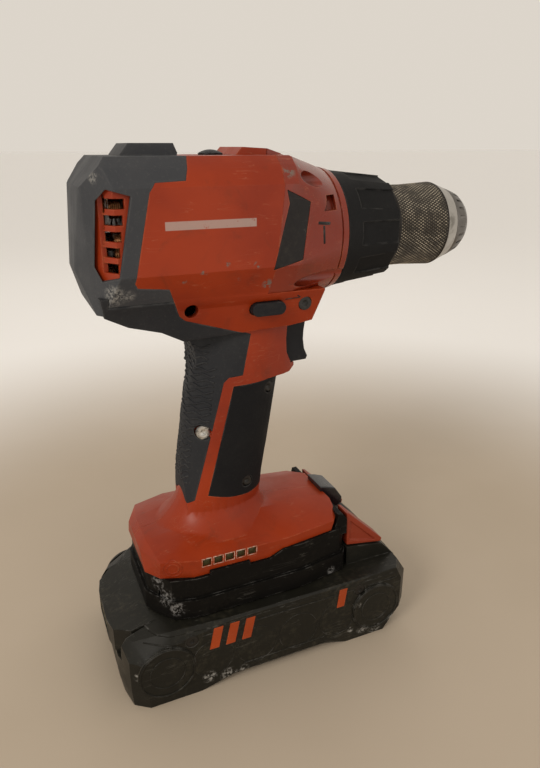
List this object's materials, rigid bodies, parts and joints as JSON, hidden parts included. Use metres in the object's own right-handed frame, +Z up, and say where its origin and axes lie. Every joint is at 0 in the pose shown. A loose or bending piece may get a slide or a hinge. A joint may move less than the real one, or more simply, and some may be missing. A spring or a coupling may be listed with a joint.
{
  "type": "cordless hammer drill driver",
  "caption": "Pistol-grip cordless hammer drill driver with a keyless chuck, mode collar, trigger and slide-on battery pack under the handle.",
  "frame": {"origin": "on the battery's flat underside, below the spindle axis, 93 mm behind the tip of the chuck", "axes": "+X forward along the spindle towards the chuck, +Y to the left of the person holding it, +Z up"},
  "size_m": [0.198, 0.0858, 0.2557],
  "materials": {
    "battery_plastic": "worn satin",
    "bearing_steel": "ground",
    "board": "lacquer",
    "bumper_rubber": "worn matt",
    "cell_steel": "sleeved",
    "chuck_screw_steel": "blackened",
    "chuck_steel": "blackened",
    "collar_plastic": "matt",
    "contact_brass": "satin",
    "control_plastic": "satin",
    "copper_wire": "enamelled",
    "cover_metal": "die cast",
    "fan_plastic": "matt",
    "gear_steel": "ground",
    "gloss_red_case": "gloss",
    "grip_rubber": "worn matt",
    "inlay_plastic": "matt",
    "insulator": "matt",
    "jaw_steel": "hardened",
    "knurled_steel": "blackened, worn",
    "lamination_steel": "oiled",
    "lamp_plastic": "gloss smoked",
    "mark_orange": "matt",
    "nose_steel": "bright, worn",
    "panel_plastic": "matt",
    "red_shell": "satin, scuffed",
    "release_red": "satin",
    "screw_steel": "zinc plated",
    "shoe_plastic": "satin",
    "spring_steel": "drawn",
    "status_plastic": "gloss"
  },
  "bodies": {
    "housing": {"right_shell": "red_shell", "left_shell": "red_shell", "gear_housing": "gloss_red_case", "rear_bumper_right": "bumper_rubber", "rear_bumper_left": "bumper_rubber", "back_grip_right": "grip_rubber", "back_grip_left": "grip_rubber", "grip_panel_right": "panel_plastic", "grip_panel_left": "panel_plastic", "housing_inlays": "inlay_plastic", "battery_shoe": "shoe_plastic", "terminal_block": "insulator", "terminal_blades": "contact_brass", "status_windows": "status_plastic", "housing_screws": "screw_steel", "work_light": "lamp_plastic", "stator_core": "lamination_steel", "stator_coils": "copper_wire", "motor_bearings": "bearing_steel", "gearbox_cover": "cover_metal", "ring_gears": "gear_steel", "spindle_bearings": "bearing_steel", "fixed_ratchet": "gear_steel", "clutch_spring": "spring_steel", "switch_module": "insulator", "control_board": "board"},
    "rotor": {"rotor_core": "lamination_steel", "motor_shaft": "bearing_steel", "cooling_fan": "fan_plastic"},
    "first_carrier": {"carrier": "gear_steel"},
    "planet_1a_gear": {"planet_1a": "gear_steel"},
    "planet_1b_gear": {"planet_1b": "gear_steel"},
    "planet_1c_gear": {"planet_1c": "gear_steel"},
    "spindle_and_chuck": {"spindle": "gear_steel", "chuck_body": "chuck_steel", "chuck_screw": "chuck_screw_steel", "turning_ratchet": "gear_steel"},
    "planet_2a_gear": {"planet_2a": "gear_steel"},
    "planet_2b_gear": {"planet_2b": "gear_steel"},
    "planet_2c_gear": {"planet_2c": "gear_steel"},
    "sleeve": {"chuck_sleeve": "knurled_steel", "chuck_nut": "gear_steel", "nose_ring": "nose_steel"},
    "jaw_1_slider": {"jaw_1": "jaw_steel"},
    "jaw_2_slider": {"jaw_2": "jaw_steel"},
    "jaw_3_slider": {"jaw_3": "jaw_steel"},
    "mode_collar": {"mode_ring": "collar_plastic"},
    "speed_selector": {"gear_selector": "control_plastic"},
    "trigger_lever": {"trigger": "control_plastic", "trigger_spring": "spring_steel"},
    "direction_switch": {"direction_lever": "control_plastic"},
    "battery": {"battery_tray": "battery_plastic", "battery_lid": "battery_plastic", "battery_cells": "cell_steel", "battery_board": "board", "battery_screws": "screw_steel", "battery_marks": "mark_orange", "charge_gauge": "status_plastic"},
    "right_release": {"release_right": "release_red"},
    "left_release": {"release_left": "release_red"}
  },
  "joints": [
    {"name": "spindle_spin", "type": "hinge", "parent": "housing", "child": "spindle_and_chuck", "pos_m": [0.05, 0, 0.217], "axis": [1, 0, 0], "continuous": true},
    {"name": "rotor_spin", "type": "hinge", "parent": "housing", "child": "rotor", "pos_m": [-0.07, 0, 0.217], "axis": [1, 0, 0], "continuous": true},
    {"name": "carrier_spin", "type": "hinge", "parent": "housing", "child": "first_carrier", "pos_m": [-0.025, 0, 0.217], "axis": [1, 0, 0], "continuous": true},
    {"name": "planet_1a_spin", "type": "hinge", "parent": "first_carrier", "child": "planet_1a_gear", "pos_m": [-0.0305, 0.012, 0.217], "axis": [1, 0, 0], "continuous": true},
    {"name": "planet_1b_spin", "type": "hinge", "parent": "first_carrier", "child": "planet_1b_gear", "pos_m": [-0.0305, -0.006, 0.22739], "axis": [1, 0, 0], "continuous": true},
    {"name": "planet_1c_spin", "type": "hinge", "parent": "first_carrier", "child": "planet_1c_gear", "pos_m": [-0.0305, -0.006, 0.20661], "axis": [1, 0, 0], "continuous": true},
    {"name": "planet_2a_spin", "type": "hinge", "parent": "spindle_and_chuck", "child": "planet_2a_gear", "pos_m": [-0.0166, 0.012, 0.217], "axis": [1, 0, 0], "continuous": true},
    {"name": "planet_2b_spin", "type": "hinge", "parent": "spindle_and_chuck", "child": "planet_2b_gear", "pos_m": [-0.0166, -0.006, 0.22739], "axis": [1, 0, 0], "continuous": true},
    {"name": "planet_2c_spin", "type": "hinge", "parent": "spindle_and_chuck", "child": "planet_2c_gear", "pos_m": [-0.0166, -0.006, 0.20661], "axis": [1, 0, 0], "continuous": true},
    {"name": "sleeve_turn", "type": "hinge", "parent": "spindle_and_chuck", "child": "sleeve", "pos_m": [0.06, 0, 0.217], "axis": [1, 0, 0], "range_deg": [0, 3600]},
    {"name": "jaw_1_slide", "type": "slide", "parent": "spindle_and_chuck", "child": "jaw_1_slider", "axis": [0.9703, 0.2419, 0], "range_m": [0, 0.0225]},
    {"name": "jaw_2_slide", "type": "slide", "parent": "spindle_and_chuck", "child": "jaw_2_slider", "axis": [0.9703, -0.121, 0.2095], "range_m": [0, 0.0225]},
    {"name": "jaw_3_slide", "type": "slide", "parent": "spindle_and_chuck", "child": "jaw_3_slider", "axis": [0.9703, -0.121, -0.2095], "range_m": [0, 0.0225]},
    {"name": "mode_turn", "type": "hinge", "parent": "housing", "child": "mode_collar", "pos_m": [0.03, 0, 0.217], "axis": [1, 0, 0], "range_deg": [-120, 150]},
    {"name": "speed_slide", "type": "slide", "parent": "housing", "child": "speed_selector", "axis": [-1, 0, 0], "range_m": [0, 0.0075]},
    {"name": "trigger_pull", "type": "slide", "parent": "housing", "child": "trigger_lever", "axis": [-1, 0, 0], "range_m": [0, 0.0065], "stiffness_N_per_m": 900, "springref_m": -0.002},
    {"name": "direction_slide", "type": "slide", "parent": "housing", "child": "direction_switch", "axis": [0, 1, 0], "range_m": [-0.003, 0.003]},
    {"name": "battery_slide", "type": "slide", "parent": "housing", "child": "battery", "axis": [1, 0, 0], "range_m": [0, 0.12]},
    {"name": "release_right_press", "type": "slide", "parent": "battery", "child": "right_release", "axis": [0, 1, 0], "range_m": [0, 0.003], "stiffness_N_per_m": 1500, "springref_m": -0.001},
    {"name": "release_left_press", "type": "slide", "parent": "battery", "child": "left_release", "axis": [0, -1, 0], "range_m": [0, 0.003], "stiffness_N_per_m": 1500, "springref_m": -0.001}
  ],
  "couplings": [
    {"joint": "rotor_spin", "follows": "spindle_spin", "ratio": 25},
    {"joint": "carrier_spin", "follows": "spindle_spin", "ratio": 5},
    {"joint": "planet_1a_spin", "follows": "spindle_spin", "ratio": -13.333},
    {"joint": "planet_1b_spin", "follows": "spindle_spin", "ratio": -13.333},
    {"joint": "planet_1c_spin", "follows": "spindle_spin", "ratio": -13.333},
    {"joint": "planet_2a_spin", "follows": "spindle_spin", "ratio": -2.6667},
    {"joint": "planet_2b_spin", "follows": "spindle_spin", "ratio": -2.6667},
    {"joint": "planet_2c_spin", "follows": "spindle_spin", "ratio": -2.6667},
    {"joint": "jaw_1_slide", "follows": "sleeve_turn", "m_per_rad": 0.000358},
    {"joint": "jaw_2_slide", "follows": "sleeve_turn", "m_per_rad": 0.000358},
    {"joint": "jaw_3_slide", "follows": "sleeve_turn", "m_per_rad": 0.000358}
  ]
}
